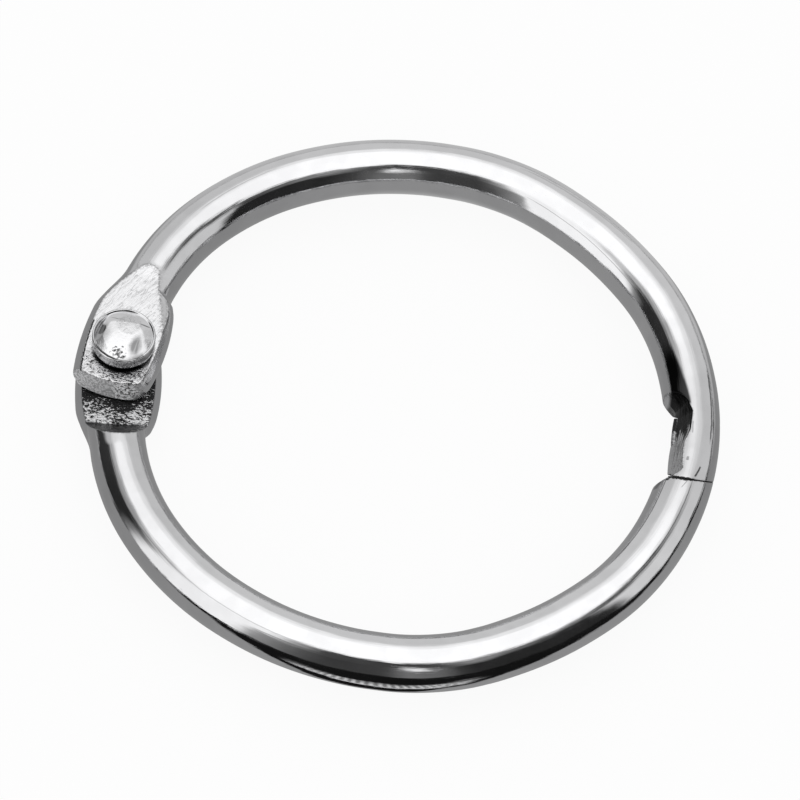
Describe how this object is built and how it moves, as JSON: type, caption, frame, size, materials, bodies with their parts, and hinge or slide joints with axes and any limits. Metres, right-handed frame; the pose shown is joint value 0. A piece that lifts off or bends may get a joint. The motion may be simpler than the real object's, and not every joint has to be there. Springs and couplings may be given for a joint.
{
  "type": "binder ring",
  "caption": "Hinged loose-leaf binder ring of plated round wire, riveted at one end and snapping shut at the other.",
  "frame": {"origin": "centre of the ring, in the middle plane of its wire", "axes": "+Z along the ring's own axis, upwards as it lies flat; -X through the hinge rivet, +X through the snap closure"},
  "size_m": [0.0312, 0.0308, 0.0044],
  "materials": {
    "upper_wire": "bright nickel plate, with tool marks on the pressed ear and tongue",
    "lower_wire": "bright nickel plate, with tool marks on the pressed ear and tongue",
    "rivet": "bright nickel plate, slightly hammered crown"
  },
  "bodies": {
    "upper_body": {"upper_half": "upper_wire", "rivet": "rivet"},
    "lower_body": {"lower_half": "lower_wire"}
  },
  "joints": [
    {"name": "hinge", "type": "hinge", "parent": "upper_body", "child": "lower_body", "pos_m": [-0.01374, 0, 0], "axis": [0, 0, -1], "range_deg": [0, 140]}
  ]
}
